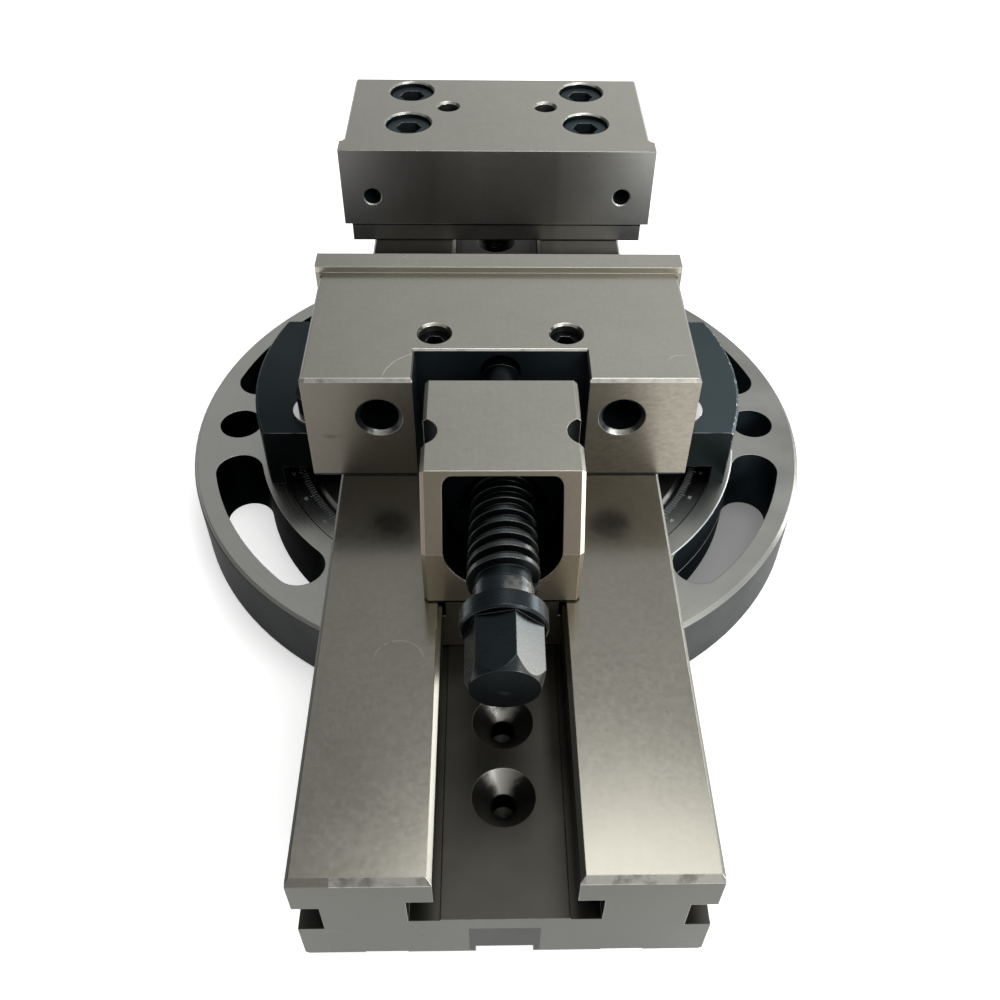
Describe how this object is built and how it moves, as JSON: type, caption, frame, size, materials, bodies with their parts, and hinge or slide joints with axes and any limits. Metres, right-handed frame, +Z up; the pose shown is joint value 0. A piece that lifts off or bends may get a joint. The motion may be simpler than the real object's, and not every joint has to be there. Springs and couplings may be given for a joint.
{
  "type": "modular machine vise",
  "caption": "Modular precision vise on a graduated swivel base: slotted bed, fixed jaw, moving jaw pushed by a screw block with hexagon spindle, side clamps",
  "frame": {"origin": "on the swivel axis, in the underside of the base ring", "axes": "+X across the jaws to the right seen from the spindle, +Y along the bed from the spindle towards the fixed jaw, +Z up"},
  "size_m": [0.29, 0.4054, 0.1361],
  "materials": {
    "ring_steel": "fine turned grey steel",
    "table_steel": "turned steel",
    "bed_steel": "ground warm grey steel, fine mottled grain",
    "jaw_steel": "ground steel, slightly warm",
    "block_steel": "ground steel",
    "key_steel": "hardened steel",
    "spring_steel": "spring wire",
    "spindle_steel": "dark turned steel with polished edges",
    "clamp_black": "blue-black oxide, satin",
    "black_screws": "black oxide",
    "washer_zinc": "bright zinc",
    "bronze": "bearing bronze"
  },
  "bodies": {
    "base": {"base_ring": "ring_steel", "thrust_ring": "bronze"},
    "vise_bed": {"turntable": "table_steel", "keeper_plate": "table_steel", "keeper_screws": "black_screws", "bed_key_front": "key_steel", "bed_key_rear": "key_steel", "bed_key_screws": "black_screws", "left_clamp": "clamp_black", "right_clamp": "clamp_black", "clamp_washers": "washer_zinc", "clamp_bolts": "black_screws", "bed": "bed_steel", "fixed_jaw": "jaw_steel", "fixed_jaw_bolts": "black_screws", "fixed_jaw_dowels": "key_steel"},
    "block": {"screw_block": "block_steel", "plunger_spring": "spring_steel"},
    "plunger": {"locating_plunger": "key_steel", "plunger_cap": "spindle_steel"},
    "moving_jaw_group": {"moving_jaw": "jaw_steel", "jaw_plug_screws": "black_screws", "jaw_guide": "key_steel", "guide_screws": "black_screws", "cup_pins": "key_steel"},
    "thrust_cup_group": {"thrust_cup": "spindle_steel"},
    "spindle_group": {"spindle": "spindle_steel"}
  },
  "joints": [
    {"name": "swivel", "type": "hinge", "parent": "base", "child": "vise_bed", "pos_m": [0, 0, 0.033], "axis": [0, 0, 1], "continuous": true},
    {"name": "block_slide", "type": "slide", "parent": "vise_bed", "child": "block", "axis": [0, 1, 0], "range_m": [-0.0843, 0.0562]},
    {"name": "plunger_drop", "type": "slide", "parent": "block", "child": "plunger", "axis": [0, 0, -1], "range_m": [0, 0.006], "stiffness_N_per_m": 800, "springref_m": -0.004, "deforming": ["plunger_spring"]},
    {"name": "jaw_feed", "type": "slide", "parent": "block", "child": "moving_jaw_group", "axis": [0, 1, 0], "range_m": [-0.021, 0.027]},
    {"name": "spindle_feed", "type": "slide", "parent": "block", "child": "thrust_cup_group", "axis": [0, 0.9976, 0.0698], "range_m": [-0.02106, 0.02708]},
    {"name": "spindle_turn", "type": "hinge", "parent": "thrust_cup_group", "child": "spindle_group", "pos_m": [0, -0.15125, 0.1115], "axis": [0, 0.9976, 0.0698], "range_deg": [-1516.7, 1949.7]}
  ],
  "couplings": [
    {"joint": "spindle_feed", "follows": "jaw_feed", "ratio": 1.0024},
    {"joint": "spindle_turn", "follows": "jaw_feed", "rad_per_m": 1259.7}
  ]
}
